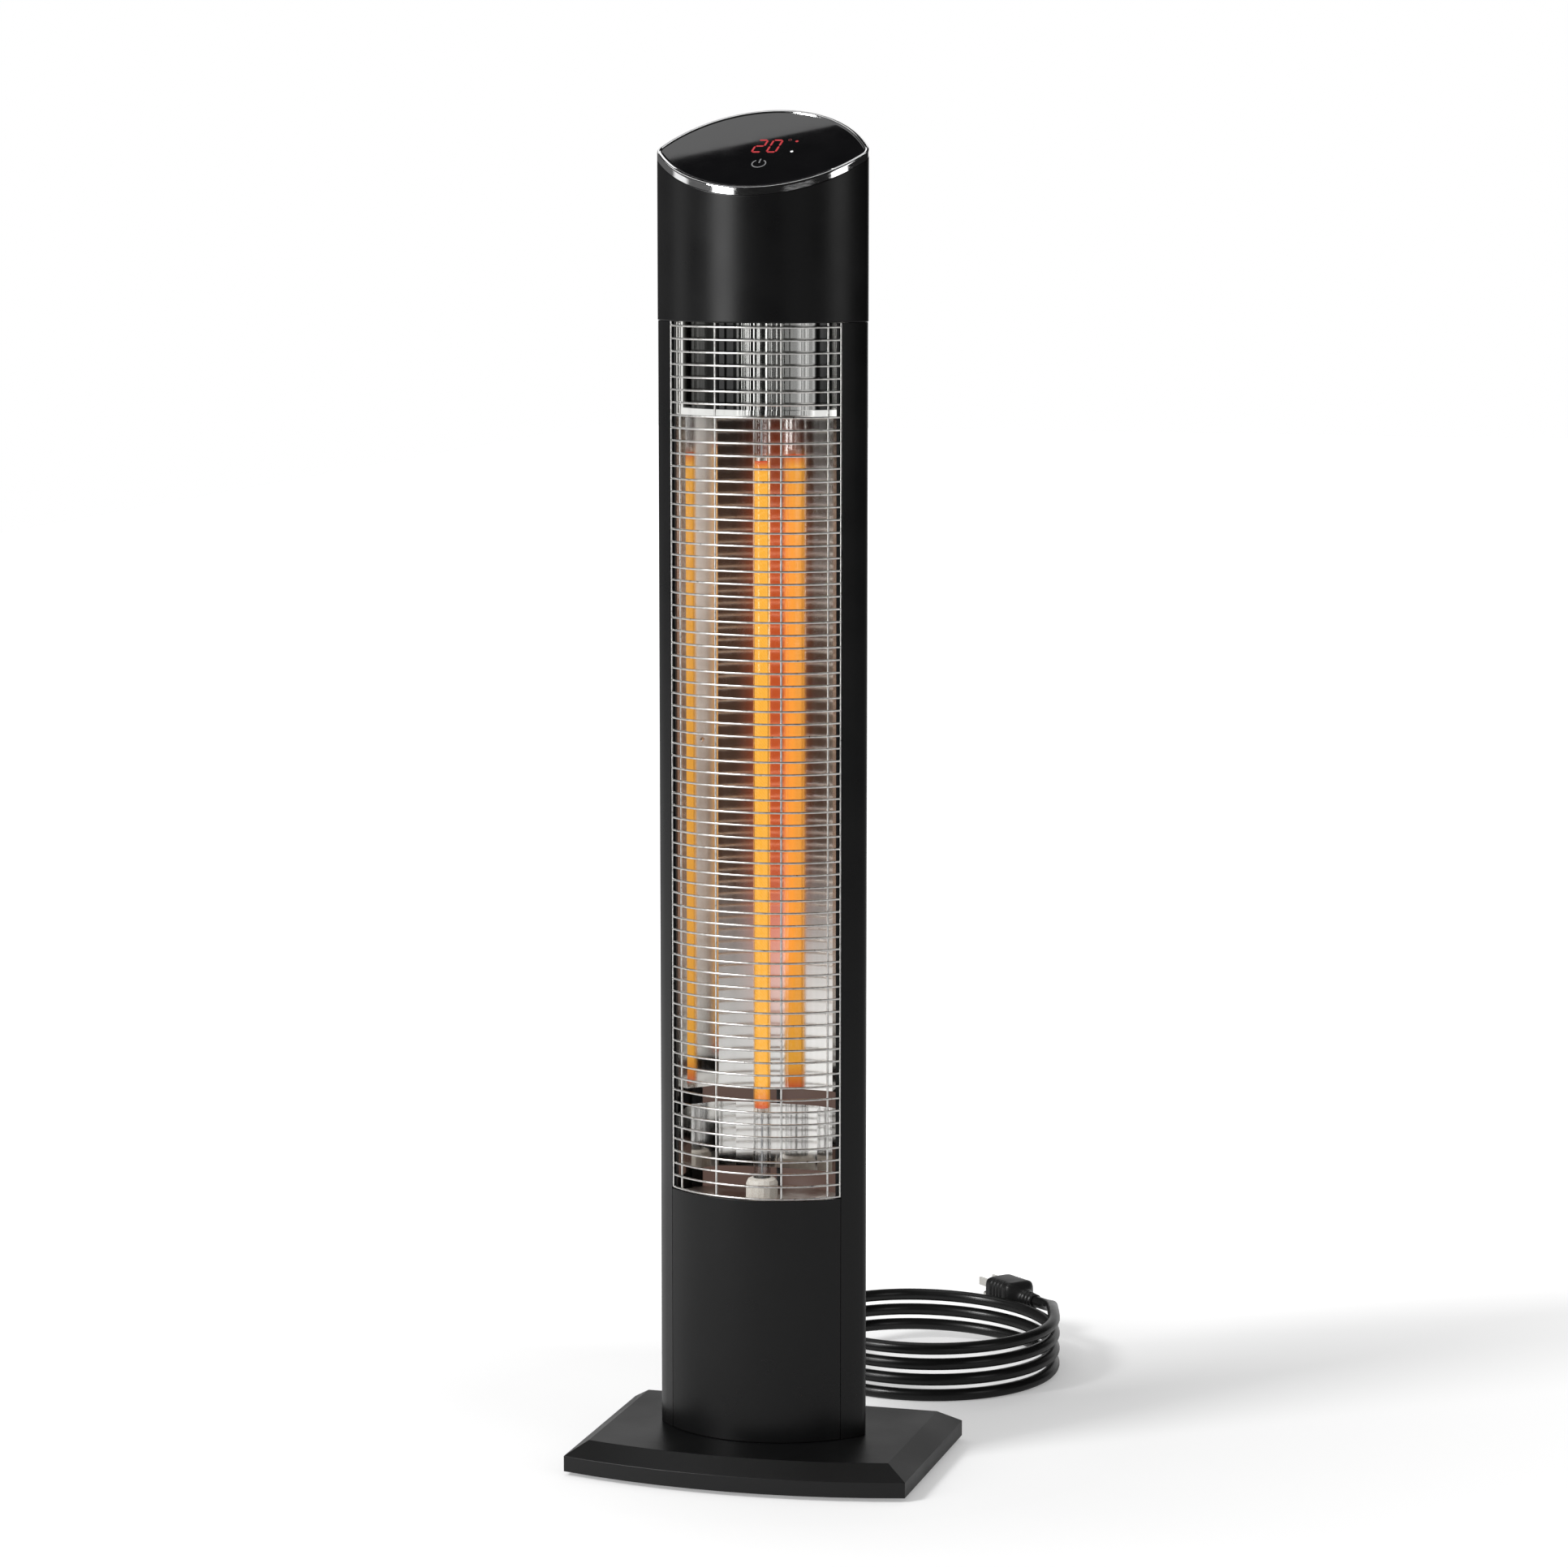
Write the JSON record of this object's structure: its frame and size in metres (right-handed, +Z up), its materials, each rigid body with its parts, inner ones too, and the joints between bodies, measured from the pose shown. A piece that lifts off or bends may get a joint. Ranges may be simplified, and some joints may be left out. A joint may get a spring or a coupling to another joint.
{
  "type": "tower heater",
  "caption": "Free-standing radiant tower heater: an upright carbon tube before a folded reflector behind a wire guard, slanted glass control top, weighted base, mains cord coiled behind.",
  "frame": {"origin": "on the ground, under the middle of the base", "axes": "+Z up along the column, -Y towards the room (the side that the guard faces), +X to the right as seen from behind the guard looking along +Y"},
  "size_m": [0.276, 0.5074, 0.9518],
  "materials": {
    "satin_black_metal": "satin",
    "black_glass": "glossy",
    "bright_ring": "polished",
    "polished_sheet": "polished",
    "plated_wire": "plated",
    "zinc_steel": "zinc plated",
    "plug_pins": "nickel plated",
    "white_ceramic": "matte",
    "clear_quartz": "clear",
    "glowing_carbon": "glowing",
    "green_board": "lacquered",
    "black_rubber": "satin",
    "matte_black_plastic": "matte",
    "red_display": "lit",
    "iron": "painted"
  },
  "bodies": {
    "heater": {"base_ballast": "iron", "base_bottom_plate": "zinc_steel", "base_cover": "satin_black_metal", "carbon_element": "glowing_carbon", "chamber_floor": "polished_sheet", "chrome_ring": "bright_ring", "column_bolt_left": "zinc_steel", "column_bolt_right": "zinc_steel", "column_bracket": "zinc_steel", "control_board": "green_board", "control_carrier": "matte_black_plastic", "control_glass": "black_glass", "cord_boot": "black_rubber", "cord_coil": "black_rubber", "cord_tail": "black_rubber", "foot_back_left": "black_rubber", "foot_back_right": "black_rubber", "foot_front_left": "black_rubber", "foot_front_right": "black_rubber", "guard": "plated_wire", "head_shell": "satin_black_metal", "head_tray": "matte_black_plastic", "led_display": "red_display", "left_rail": "satin_black_metal", "lower_front_panel": "satin_black_metal", "lower_lead": "zinc_steel", "lower_reflector": "polished_sheet", "lower_tube_cap": "white_ceramic", "lower_tube_clip": "zinc_steel", "plug_blade_left": "plug_pins", "plug_blade_right": "plug_pins", "plug_body": "black_rubber", "plug_earth_pin": "plug_pins", "power_board": "green_board", "power_relay": "matte_black_plastic", "quartz_tube": "clear_quartz", "rear_housing": "satin_black_metal", "rear_screw_left_high": "zinc_steel", "rear_screw_left_low": "zinc_steel", "rear_screw_right_high": "zinc_steel", "rear_screw_right_low": "zinc_steel", "reflector": "polished_sheet", "reflector_rivet_left": "polished_sheet", "reflector_rivet_right": "polished_sheet", "right_rail": "satin_black_metal", "supply_lead": "black_rubber", "switch_frame": "matte_black_plastic", "terminal_block": "white_ceramic", "thermal_cutout": "zinc_steel", "tip_spring": "zinc_steel", "tip_switch_body": "matte_black_plastic", "touch_pad": "zinc_steel", "upper_lead": "zinc_steel", "upper_reflector_cover": "polished_sheet", "upper_tube_bracket": "zinc_steel", "upper_tube_cap": "white_ceramic", "wiring_loom": "matte_black_plastic"},
    "tip_plunger": {"tip_plunger": "matte_black_plastic"},
    "rocker": {"power_rocker": "matte_black_plastic"}
  },
  "joints": [
    {"name": "tip_plunger_slide", "type": "slide", "parent": "heater", "child": "tip_plunger", "axis": [0, 0, -1], "range_m": [0, 0.004], "stiffness_N_per_m": 60, "springref_m": 0.006, "deforming": ["tip_spring"]},
    {"name": "rocker_turn", "type": "hinge", "parent": "heater", "child": "rocker", "pos_m": [0, 0.0508, 0.1025], "axis": [1, 0, 0], "range_deg": [0, 16]}
  ]
}
